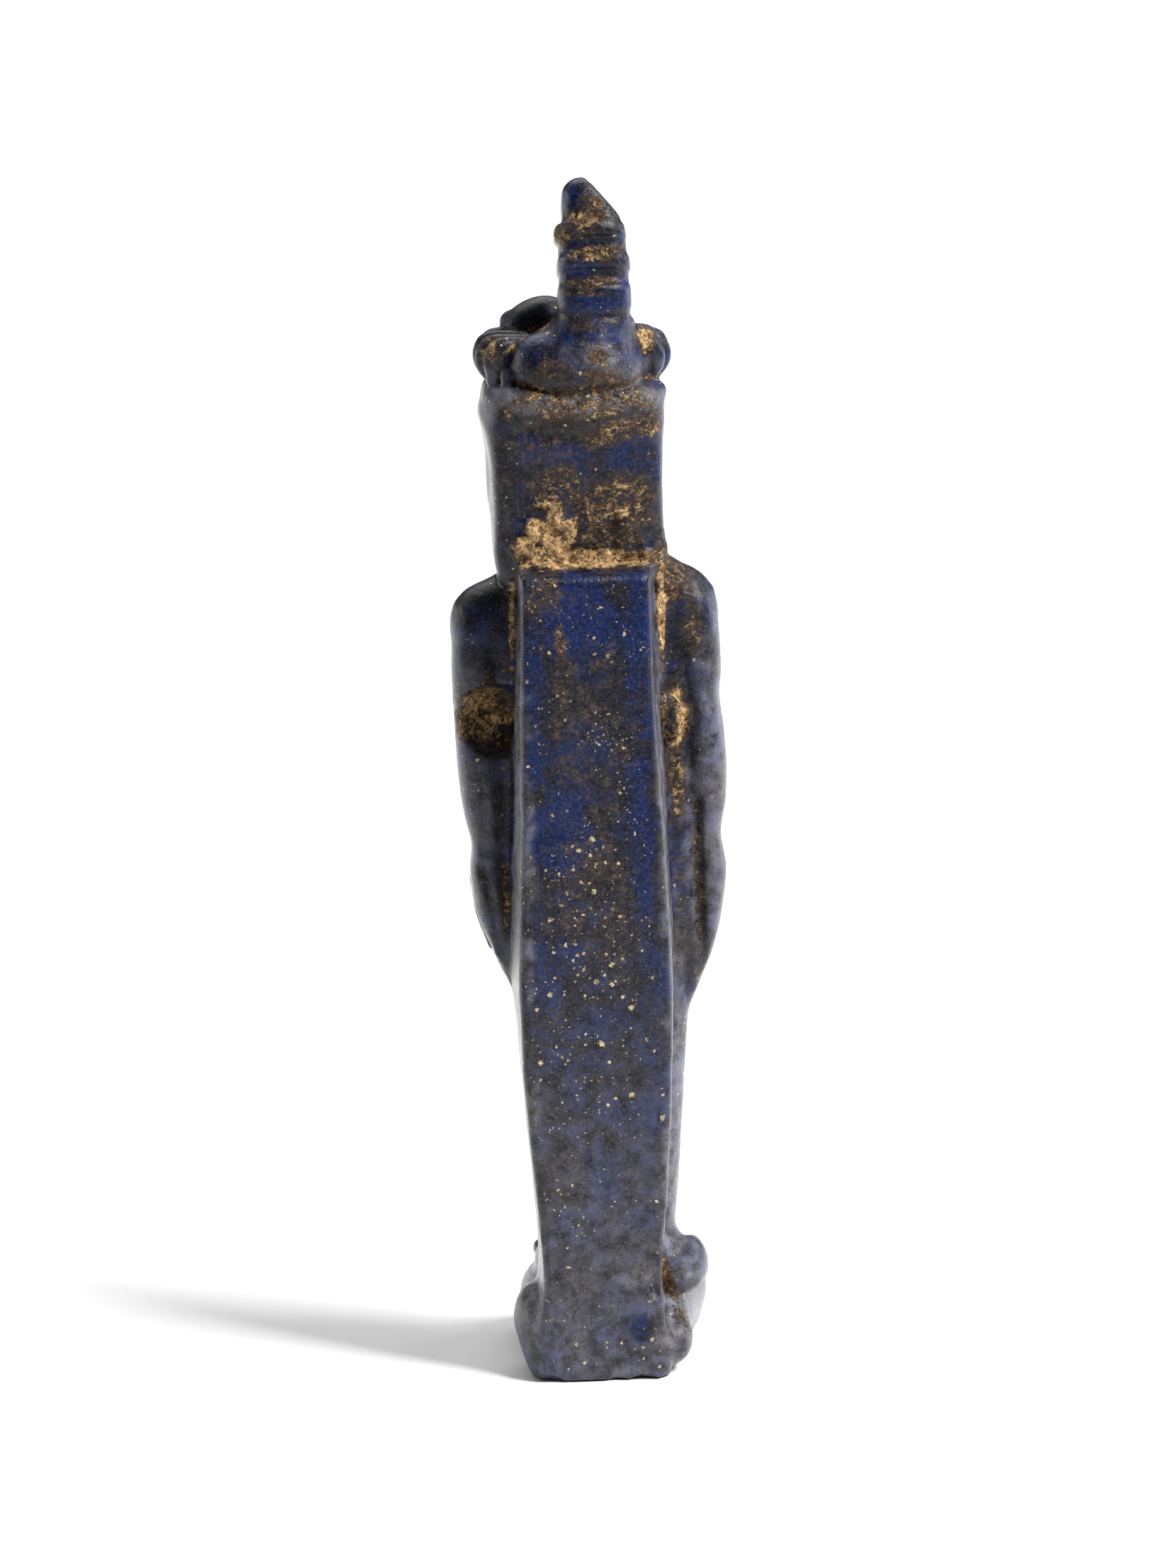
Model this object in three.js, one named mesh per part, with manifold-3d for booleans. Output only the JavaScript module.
// A small figurine of a scorpion goddess, carved in one piece from blue stone.
//
// She stands on a low base in a long tight dress, her arms at her sides, with a back pillar behind
// her and a scorpion on her long wig, its ringed tail raised and its sting broken off. A suspension
// hole runs from side to side in front of the pillar, at the height of the elbows.
//
// Units are millimetres. +z is up, -y is her front and +x is her left. The origin is on the base's
// underside, below the middle of the pillar.
import * as THREE from 'three';
import { mergeVertices } from 'three/addons/utils/BufferGeometryUtils.js';
import Module from 'manifold-3d';

const wasm = await Module();
wasm.setup();

// Driving dimensions
const BASE_TOP = 2.75;
const BASE_FRONT = -4.9;
const BASE_X = -1.0; // middle of the base's front
const BASE_BACK_X = -0.15; // middle of its back
const BASE_BACK_SHARE = 0.7; // the width at the back, as a share of that at the front
const BASE_RISE = 0.2; // slope by which the front corner on her right stands higher
const BASE_RISE_START = -1.5; // from this x on
const PILLAR_BACK = 3.9;
const PILLAR_ROOT = 0.6;
const PILLAR_TOP = 27.2;
const PILLAR_BEVEL = 0.2;
const FEET_X = -0.65; // the feet stand a little to her right of the pillar
const HEAD_X = 0.25; // and the head a little to her left
const WIG_TOP = 33.35;
const FACE_Z = 30.4;
const TAIL_X = -0.43;
const TAIL_LEAN = 0.36; // slope by which the tail's rings rise towards the back
const TAIL_LEAN_START = 34.4;
const TAIL_LEAN_END = 37.4;
const HOLE_Z = 22.0;
const HOLE_RADIUS = 0.55;
const HOLE_MOUTH_RADII = { left: 1.5, right: 1.05 };
const HOLE_MOUTH_LENGTH = 2.6;
const HOLE_MOUTH_X = 2.95; // from the middle to the middle of each mouth
const HOLE_MOUTH_Y = 1.3;
const HOLE_MEET_Y = -0.25; // where the two borings meet, behind the belly

const SIDES = [1, -1]; // her left, her right

// Stations of the stacked sections: height, middle x, half width, front y, back y, squareness.
// Squareness 2 is an ellipse, and more is closer to a rectangle.
const BASE = [
  [0.0, -0.85, 3.0, -4.5, 3.7, 5],
  [0.3, -0.9, 3.22, -4.75, 3.86, 5],
  [0.9, -0.96, 3.38, BASE_FRONT, 3.88, 5],
  [1.6, BASE_X, 3.44, -4.88, 3.88, 5],
  [2.2, BASE_X, 3.2, -4.7, 3.86, 4.5],
  [2.6, BASE_X, 2.78, -4.35, 3.7, 4],
  [BASE_TOP, BASE_X, 2.4, -4.0, 3.4, 3.6],
];
// The stone left standing between the feet, under the hem.
const ANKLES = [
  [2.5, -0.58, 1.7, -1.1, 1.4, 2.8],
  [3.9, -0.55, 1.8, -1.3, 1.4, 2.8],
];
const DRESS = [
  [3.75, -0.52, 2.14, -1.95, 1.5, 2.8],
  [5.0, -0.5, 2.26, -1.8, 1.5, 2.8],
  [8.0, -0.45, 2.54, -1.95, 1.55, 2.8],
  [12.0, -0.4, 2.92, -2.2, 1.5, 2.9],
  [15.0, -0.34, 3.2, -2.4, 1.5, 3],
  [17.5, -0.25, 3.2, -2.35, 1.45, 3],
  [20.5, -0.1, 2.8, -1.95, 1.3, 2.8],
  [23.5, 0.0, 2.95, -2.1, 1.2, 2.6],
  [25.6, 0.0, 3.1, -1.9, 1.2, 2.4],
  [26.8, 0.0, 2.2, -1.2, 1.1, 2.2],
];
// The stone left standing between the arms and the body.
const WEB = [
  [13.0, -0.4, 2.9, -0.7, 0.6, 3],
  [15.0, -0.35, 3.5, -0.75, 0.9, 3],
  [19.0, -0.1, 3.6, -0.7, 1.0, 3],
  [25.5, 0.0, 3.4, -0.6, 1.0, 3],
];
const NECK = [
  [25.5, 0.1, 1.5, -1.5, 1.2, 2],
  [27.2, 0.15, 1.05, -1.35, 1.2, 2],
  [29.5, HEAD_X, 1.05, -1.5, 1.2, 2],
];
const WIG = [
  [26.3, 0.12, 2.6, -0.3, 1.75, 3.0],
  [27.4, 0.16, 2.84, -0.6, 2.0, 3.4],
  [29.0, 0.21, 2.8, -1.1, 2.2, 3.6],
  [30.6, 0.27, 2.85, -1.55, 2.42, 3.6],
  [31.4, 0.29, 2.92, -2.35, 2.56, 3.3],
  [32.1, 0.3, 3.02, -2.8, 2.66, 3.0],
  [32.9, 0.28, 3.02, -2.85, 2.68, 3.0],
  [WIG_TOP, 0.28, 2.8, -2.55, 2.4, 2.8],
];
const LAPPET = [
  [23.4, 1.5, 0.72, -2.85, -1.4, 4],
  [25.5, 1.55, 0.78, -2.6, -1.0, 4],
  [27.5, 1.75, 0.82, -2.3, -0.4, 3.6],
  [29.0, 2.1, 0.72, -2.15, 0.2, 3.2],
  [31.2, 2.25, 0.6, -2.1, 0.2, 3],
];
// Height, middle x and half width of the back face, half width at the root.
const PILLAR = [
  [0.15, -0.05, 2.05, 2.3],
  [2.4, 0.0, 1.95, 2.1],
  [3.4, 0.0, 1.83, 1.95],
  [6.2, 0.0, 2.02, 2.1],
  [8.6, 0.03, 2.2, 2.3],
  [11.4, 0.06, 2.34, 2.55],
  [14.3, 0.06, 2.36, 2.78],
  [17.2, 0.09, 2.28, 2.66],
  [20.0, 0.13, 2.16, 2.6],
  [22.8, 0.18, 2.05, 2.5],
  [25.7, 0.19, 2.0, 2.32],
  [PILLAR_TOP, 0.18, 1.98, 2.25],
];

// Each arm hangs straight down: height, distance of its outside from the middle, half width,
// front y, back y, squareness.
const LEFT_ARM = [
  [12.4, 2.55, 0.2, -0.6, 0.3, 2],
  [13.0, 2.86, 0.42, -0.95, 0.6, 2.2],
  [14.0, 3.28, 0.56, -1.2, 0.85, 2.4],
  [15.2, 3.76, 0.66, -1.3, 1.0, 2.5],
  [16.6, 3.93, 0.66, -1.2, 1.05, 2.5],
  [17.6, 3.88, 0.6, -1.0, 0.95, 2.3],
  [18.6, 4.1, 0.7, -1.1, 1.05, 2.3],
  [20.0, 4.28, 0.76, -1.15, 1.15, 2.3],
  [21.9, 4.38, 0.8, -1.15, 1.2, 2.3],
  [23.6, 4.46, 0.85, -1.2, 1.25, 2.3],
  [24.8, 4.38, 0.85, -1.25, 1.25, 2.3],
  [25.6, 4.1, 0.8, -1.15, 1.15, 2.2],
];
const RIGHT_ARM = [
  [11.7, 3.2, 0.18, -0.5, 0.3, 2],
  [12.2, 3.5, 0.34, -0.8, 0.5, 2.2],
  [12.9, 3.78, 0.44, -1.0, 0.7, 2.2],
  [13.9, 4.18, 0.56, -1.2, 0.85, 2.4],
  [15.2, 4.48, 0.66, -1.3, 1.0, 2.5],
  [16.6, 4.61, 0.66, -1.2, 1.05, 2.5],
  [17.8, 4.46, 0.62, -1.0, 1.0, 2.3],
  [19.2, 4.66, 0.74, -1.15, 1.1, 2.3],
  [21.4, 4.6, 0.78, -1.15, 1.2, 2.3],
  [22.5, 4.48, 0.8, -1.15, 1.2, 2.3],
  [23.4, 4.54, 0.85, -1.2, 1.25, 2.3],
  [25.2, 4.42, 0.85, -1.25, 1.25, 2.3],
  [25.9, 4.18, 0.8, -1.15, 1.15, 2.2],
];

// The scorpion from the rim of the wig up: its body, the rings of its tail with waists between
// them, and the stump of the sting.
const SCORPION = [
  [32.9, 0.25, 1.7, -1.8, 2.3, 2.6],
  [33.25, 0.22, 2.25, -2.3, 2.78, 2.6],
  [33.8, 0.18, 2.38, -2.4, 2.9, 2.5],
  [34.3, 0.06, 2.12, -2.2, 2.8, 2.3],
  [34.8, -0.22, 1.66, -1.5, 2.66, 2.3],
  [35.2, -0.4, 1.36, -0.6, 2.56, 2.5],
  [35.45, TAIL_X, 1.2, 0.1, 2.45, 2.8],
  [35.7, TAIL_X, 1.25, 0.1, 2.52, 3],
  [36.27, TAIL_X, 1.23, 0.1, 2.48, 3],
  [36.4, TAIL_X, 1.15, 0.2, 2.3, 3],
  [36.72, TAIL_X, 1.14, 0.15, 2.26, 3],
  [36.84, TAIL_X, 1.23, 0.05, 2.38, 3],
  [37.2, TAIL_X, 1.2, 0.0, 2.32, 3],
  [37.34, TAIL_X + 0.01, 1.12, 0.1, 2.08, 3],
  [37.74, TAIL_X + 0.03, 1.1, 0.0, 2.0, 3],
  [37.88, TAIL_X + 0.06, 1.2, -0.1, 2.1, 3],
  [38.28, TAIL_X + 0.1, 1.1, -0.2, 1.95, 3],
  [38.38, TAIL_X + 0.02, 0.96, -0.15, 1.75, 2.8],
  [39.0, TAIL_X + 0.06, 0.92, -0.3, 1.5, 2.8],
  [39.5, TAIL_X + 0.14, 0.76, -0.3, 1.2, 2.6],
  [39.78, TAIL_X + 0.2, 0.45, -0.1, 0.85, 2.2],
];

// Each shoulder slopes from a knot near the neck to one at its end, with a cap; the right one is a
// little higher. A knot is x, y, z and radius.
const SHOULDERS = [
  { slope: [[1.2, 0, 26.35, 1.2], [3.2, 0, 25.5, 1.1]], cap: [3.28, 0, 25.3], radii: [1.13, 1.15, 1.15] },
  { slope: [[-1.2, 0, 26.8, 1.2], [-3.2, 0, 26, 1.1]], cap: [-3.26, 0, 25.75], radii: [1.13, 1.15, 1.25] },
];

// Rounded forms by the place of the middle and the radii, on her left where there are two alike.
const BREAST = { at: [1.35, -1.7, 23.3], radii: [1, 1, 1.05] };
const FOOT_SPREAD = 1.45;
const ANKLE = { at: [0, 0.3, 3.4], radii: [1, 1.3, 1.2] };
const INSTEP = { at: [0.06, -1.7, 2.85], radii: [1.08, 2.4, 0.95], tilt: 0.14 };
const TOES = { count: 5, pitch: 0.42, tip: -3.95, step: 0.17, height: 0.12, radii: [0.26, 0.62, 0.3] };

// Forms of the face, from the middle of the head.
const SKULL = { at: [0, -1.0, 0], radii: [1.62, 1.9, 2.1] };
const CHIN = { at: [0, -2.3, -1.35], radii: [0.62, 0.5, 0.45] };
const LIPS = { at: [0, -2.72, -0.98], radii: [0.5, 0.22, 0.17] };
const EYE = { at: [0.72, -2.45, 0.3], radii: [0.46, 0.3, 0.2] };
const EAR = { at: [1.75, -1.35, 0.05], radii: [0.24, 0.45, 0.62] };
const NOSE = [[0, -2.7, 0.45, 0.16], [0, -2.95, -0.42, 0.26]];

// The scorpion's legs, and its claws with a thick and a thin finger.
const LEGS = { rows: [-1.15, -0.45, 0.25, 0.95], x: 2.3, bow: 0.14, z: 33.95, radii: [0.72, 0.4, 0.78] };
const LEG_SLANT = 0.5;
const CLAWS = [
  { at: [1.4, -1.45, 34.85], size: 1, side: 1 },
  { at: [-0.8, -1.5, 34.7], size: 0.92, side: -1 },
];
const CLAW_RADII = [1.2, 0.9, 0.8];
const THICK_FINGER = [[0.7, -0.2, 0, 0.42], [0.3, -0.95, -0.1, 0.4], [-0.5, -1.15, -0.3, 0.22]];
const THIN_FINGER = [[-0.2, -0.5, 0.2, 0.36], [-0.5, -0.95, 0.05, 0.24], [-0.75, -1.05, -0.15, 0.12]];

// What is broken away, each a block whose lower face lies on the break: the sting's flank, and the
// back corner of the base on her right.
const BREAKS = [
  { size: [3, 4, 2], turn: [0, -0.85], at: [-0.92, 0.6, 39.1] },
  { size: [3, 3, 1.5], turn: [-0.66, -2.26], at: [-2.3, 3.75, 0.5] },
];

// Values of a station table at a height, on a smooth curve through its rows.
function stationAt(rows, z) {
  const last = rows.length - 1;
  let i = 0;
  while (i < last - 1 && z > rows[i + 1][0]) i += 1;
  const [low, high] = [rows[i], rows[i + 1]];
  const span = high[0] - low[0];
  const t = THREE.MathUtils.clamp((z - low[0]) / span, 0, 1);
  const rise = (k, column) => {
    const [before, after] = [rows[Math.max(k - 1, 0)], rows[Math.min(k + 1, last)]];
    return (span * (after[column] - before[column])) / (after[0] - before[0]);
  };
  const between = (column) => low[column] * (2 * t ** 3 - 3 * t ** 2 + 1)
    + high[column] * (3 * t ** 2 - 2 * t ** 3)
    + rise(i, column) * (t ** 3 - 2 * t ** 2 + t) + rise(i + 1, column) * (t ** 3 - t ** 2);
  return [z, ...low.slice(1).map((_, column) => between(column + 1))];
}

// A closed geometry over rings of equal length, each anticlockwise seen from the last one.
function skin(rings) {
  const count = rings[0].length;
  const points = rings.flat();
  const faces = [];
  for (let r = 0; r + 1 < rings.length; r++) {
    for (let i = 0; i < count; i++) {
      const [a, b] = [r * count + i, r * count + ((i + 1) % count)];
      faces.push(a, b, b + count, a, b + count, a + count);
    }
  }
  const close = (ring, outward) => {
    const sum = rings[ring].reduce((total, point) => total.add(point), new THREE.Vector3());
    points.push(sum.divideScalar(count));
    for (let i = 0; i < count; i++) {
      const pair = [ring * count + i, ring * count + ((i + 1) % count)];
      faces.push(points.length - 1, ...(outward ? pair : pair.reverse()));
    }
  };
  close(0, false);
  close(rings.length - 1, true);
  return new THREE.BufferGeometry().setFromPoints(points).setIndex(faces);
}

// One section of a station table, as a ring of points in a level plane.
function sectionRing([z, x, halfWidth, front, back, power], segments) {
  const halfDepth = (back - front) / 2;
  const round = (v) => Math.sign(v) * Math.abs(v) ** (2 / power);
  return Array.from({ length: segments }, (_, i) => {
    const angle = (2 * Math.PI * (i + 0.5)) / segments;
    return new THREE.Vector3(
      x + halfWidth * round(Math.cos(angle)), (front + back) / 2 + halfDepth * round(Math.sin(angle)), z);
  });
}

function heights(rows, steps) {
  const [low, high] = [rows[0][0], rows[rows.length - 1][0]];
  return Array.from({ length: steps + 1 }, (_, i) => low + ((high - low) * i) / steps);
}

// A stack of sections through a station table, at even steps of height or at the stations alone.
function stack(rows, segments, steps = 0) {
  const levels = steps ? heights(rows, steps) : rows.map((r) => r[0]);
  return skin(levels.map((z) => sectionRing(stationAt(rows, z), segments)));
}

// A limb of round section with blunt ends, along a smooth curve through knots.
function limb(knots, segments, steps) {
  const curve = new THREE.CatmullRomCurve3(knots.map(([x, y, z]) => new THREE.Vector3(x, y, z)));
  const { tangents, normals, binormals } = curve.computeFrenetFrames(steps);
  const ring = (step, share = 1, beyond = 0) => {
    const along = (step / steps) * (knots.length - 1);
    const knot = Math.min(Math.floor(along), knots.length - 2);
    const radius = THREE.MathUtils.lerp(knots[knot][3], knots[knot + 1][3], along - knot);
    const middle = curve.getPoint(step / steps).addScaledVector(tangents[step], radius * beyond);
    return Array.from({ length: segments }, (_, i) => {
      const angle = (2 * Math.PI * i) / segments;
      return middle.clone()
        .addScaledVector(normals[step], radius * share * Math.cos(angle))
        .addScaledVector(binormals[step], radius * share * Math.sin(angle));
    });
  };
  const rings = Array.from({ length: steps + 1 }, (_, step) => ring(step));
  return skin([ring(0, 0.6, -0.7), ...rings, ring(steps, 0.6, 0.7)]);
}

function ellipsoid([x, y, z], [rx, ry, rz], tilt = [0, 0], across = 12, around = 8) {
  return new THREE.SphereGeometry(1, across, around)
    .rotateX(Math.PI / 2)
    .scale(rx, ry, rz)
    .rotateX(tilt[0])
    .rotateY(tilt[1])
    .translate(x, y, z);
}

// A closed mesh as a solid, ready to be joined and cut.
function solid(geometry) {
  const bare = new THREE.BufferGeometry().setAttribute('position', geometry.getAttribute('position'));
  bare.setIndex(geometry.index);
  const merged = mergeVertices(bare, 1e-4);
  return new wasm.Manifold(new wasm.Mesh({
    numProp: 3,
    vertProperties: new Float32Array(merged.attributes.position.array),
    triVerts: new Uint32Array(merged.index.array),
  }));
}

const join = (solids) => solids.reduce((whole, next) => whole.add(next));

function pillar() {
  const ring = ([z, middle, halfBack, halfRoot], y = PILLAR_BACK) => {
    const side = y - PILLAR_BEVEL;
    const wide = halfBack + PILLAR_BEVEL * 0.8;
    return [
      [halfRoot, PILLAR_ROOT], [middle + wide, side], [middle + halfBack, y],
      [middle - halfBack, y], [middle - wide, side], [-halfRoot, PILLAR_ROOT],
    ].map(([x, depth]) => new THREE.Vector3(x, depth, z));
  };
  const levels = [...heights(PILLAR, 13).slice(0, -1), PILLAR_TOP - PILLAR_BEVEL];
  const top = ring(stationAt(PILLAR, PILLAR_TOP), PILLAR_BACK - PILLAR_BEVEL);
  return solid(skin([...levels.map((z) => ring(stationAt(PILLAR, z))), top]));
}

// The base narrows towards the back.
function base() {
  const geometry = stack(BASE, 28);
  const at = geometry.getAttribute('position');
  for (let i = 0; i < at.count; i++) {
    const [x, y, z] = [at.getX(i), at.getY(i), at.getZ(i)];
    const backness = THREE.MathUtils.clamp((y - BASE_FRONT) / (PILLAR_BACK - BASE_FRONT), 0, 1);
    const narrow = (x - BASE_X) * BASE_BACK_SHARE + BASE_BACK_X;
    const rise = BASE_RISE * Math.max(0, BASE_RISE_START - x) * (1 - backness);
    at.setX(i, THREE.MathUtils.lerp(x, narrow, backness));
    at.setZ(i, z + rise * THREE.MathUtils.smoothstep(z, BASE_TOP / 2, BASE_TOP));
  }
  return solid(geometry);
}

function arm(rows, side) {
  const placed = rows.map(([z, outermost, halfWidth, ...rest]) => (
    [z, side * (outermost - halfWidth), halfWidth, ...rest]));
  return solid(stack(placed, 12, 17));
}

function dress() {
  return join([solid(stack(DRESS, 24, 16)), solid(stack(ANKLES, 12))]);
}

function foot(side) {
  const place = ([x, y, z]) => [FEET_X + side * (FOOT_SPREAD + x), y, z];
  const toes = Array.from({ length: TOES.count }, (_, i) => {
    const across = (i - (TOES.count - 1) / 2) * TOES.pitch;
    const middle = place([across, TOES.tip + TOES.step * i, BASE_TOP + TOES.height]);
    return solid(ellipsoid(middle, TOES.radii, [0, 0], 8, 5));
  });
  return join([
    solid(ellipsoid(place(ANKLE.at), ANKLE.radii)),
    solid(ellipsoid(place(INSTEP.at), INSTEP.radii, [INSTEP.tilt, 0])),
    ...toes,
  ]);
}

function shoulders() {
  return join(SHOULDERS.flatMap(({ slope, cap, radii }) => (
    [solid(limb(slope, 12, 3)), solid(ellipsoid(cap, radii))])));
}

function breasts() {
  const [x, y, z] = BREAST.at;
  return join(SIDES.map((side) => solid(ellipsoid([side * x, y, z], BREAST.radii))));
}

function face() {
  const place = ([x, y, z], side = 1) => [HEAD_X + side * x, y, FACE_Z + z];
  const nose = NOSE.map(([x, y, z, radius]) => [...place([x, y, z]), radius]);
  const pair = ({ at, radii }, ...counts) => (
    SIDES.map((side) => solid(ellipsoid(place(at, side), radii, [0, 0], ...counts))));
  return join([
    solid(ellipsoid(place(SKULL.at), SKULL.radii, [0, 0], 18, 12)),
    solid(ellipsoid(place(CHIN.at), CHIN.radii)),
    solid(ellipsoid(place(LIPS.at), LIPS.radii)),
    solid(limb(nose, 8, 3)),
    ...pair(EYE, 10, 6),
    ...pair(EAR, 8, 8),
  ]);
}

// The two fronts of the wig fall over her breasts.
function lappets() {
  return join(SIDES.map((side) => {
    const middle = (z) => HEAD_X * THREE.MathUtils.smoothstep(z, LAPPET[0][0], FACE_Z);
    const rows = LAPPET.map(([z, x, ...rest]) => [z, middle(z) + side * x, ...rest]);
    return solid(stack(rows, 10, 7));
  }));
}

// The tail's rings rise towards the back, because the tail leans forward.
function scorpionBody() {
  const geometry = stack(SCORPION, 16);
  const at = geometry.getAttribute('position');
  for (let i = 0; i < at.count; i++) {
    const z = at.getZ(i);
    const lean = TAIL_LEAN * THREE.MathUtils.smoothstep(z, TAIL_LEAN_START, TAIL_LEAN_END);
    const [, , , front, back] = stationAt(SCORPION, z);
    at.setZ(i, z + lean * (at.getY(i) - (front + back) / 2));
  }
  return solid(geometry);
}

// Four legs on each side, close together, reach down over the rim of the wig.
function scorpionLegs() {
  return SIDES.flatMap((side) => LEGS.rows.map((y, i) => {
    const bow = LEGS.bow * Math.sin(((i + 0.5) * Math.PI) / LEGS.rows.length);
    const middle = [HEAD_X + side * (LEGS.x + bow), y, LEGS.z];
    return solid(ellipsoid(middle, LEGS.radii, [0, side * LEG_SLANT], 9, 6));
  }));
}

// The two claws are raised and curl in over her forehead.
function scorpionClaws() {
  return CLAWS.flatMap(({ at: [x, y, z], size, side }) => {
    const finger = (knots) => knots.map(([dx, dy, dz, radius]) => (
      [x + side * dx * size, y + dy * size, z + dz * size, radius * size]));
    return [
      solid(ellipsoid([x, y, z], CLAW_RADII.map((r) => r * size), [0, side * LEG_SLANT])),
      solid(limb(finger(THICK_FINGER), 8, 5)),
      solid(limb(finger(THIN_FINGER), 7, 4)),
    ];
  });
}

// The suspension hole is bored slantwise from behind each arm, and opens wide at its mouths.
function suspensionHole() {
  return SIDES.map((side) => {
    const mouth = new THREE.Vector3(side * HOLE_MOUTH_X, HOLE_MOUTH_Y, HOLE_Z);
    const inward = new THREE.Vector3(0, HOLE_MEET_Y, HOLE_Z).sub(mouth);
    const turn = new THREE.Quaternion().setFromUnitVectors(
      new THREE.Vector3(0, 1, 0), inward.clone().normalize());
    const along = (geometry, share) => solid(geometry.applyQuaternion(turn)
      .translate(...mouth.clone().addScaledVector(inward, share).toArray()));
    const wide = side > 0 ? HOLE_MOUTH_RADII.left : HOLE_MOUTH_RADII.right;
    const length = inward.length() + 2 * HOLE_RADIUS;
    const bore = new THREE.CylinderGeometry(HOLE_RADIUS, HOLE_RADIUS, length, 12);
    const flare = new THREE.CylinderGeometry(HOLE_RADIUS, wide, HOLE_MOUTH_LENGTH, 16);
    return along(bore, 0.5).add(along(flare, -0.1));
  });
}

function breakBlock({ size, turn, at }) {
  return solid(new THREE.BoxGeometry(...size)
    .translate(0, 0, size[2] / 2)
    .rotateX(turn[0])
    .rotateY(turn[1])
    .translate(...at));
}

function figure() {
  const whole = join([
    base(), pillar(), dress(), solid(stack(WEB, 12)), solid(stack(NECK, 12)), solid(stack(WIG, 24)),
    arm(LEFT_ARM, 1), arm(RIGHT_ARM, -1), foot(1), foot(-1), shoulders(), breasts(), face(),
    lappets(), scorpionBody(), ...scorpionLegs(), ...scorpionClaws(),
  ]);
  const cuts = [...suspensionHole(), ...BREAKS.map(breakBlock)];
  return cuts.reduce((rest, cut) => rest.subtract(cut), whole);
}

function meshOf(name, shape, material) {
  const { vertProperties, triVerts } = shape.getMesh();
  const geometry = new THREE.BufferGeometry()
    .setAttribute('position', new THREE.BufferAttribute(new Float32Array(vertProperties), 3))
    .setIndex(new THREE.BufferAttribute(new Uint32Array(triVerts), 1));
  geometry.computeVertexNormals();
  const mesh = new THREE.Mesh(geometry, material);
  mesh.name = name;
  return mesh;
}

const lapis = new THREE.MeshStandardMaterial({ color: 0x1b2550, roughness: 0.35, metalness: 0 });

const figurine = new THREE.Group();
figurine.add(meshOf('goddess_figurine', figure(), lapis));

export default figurine;
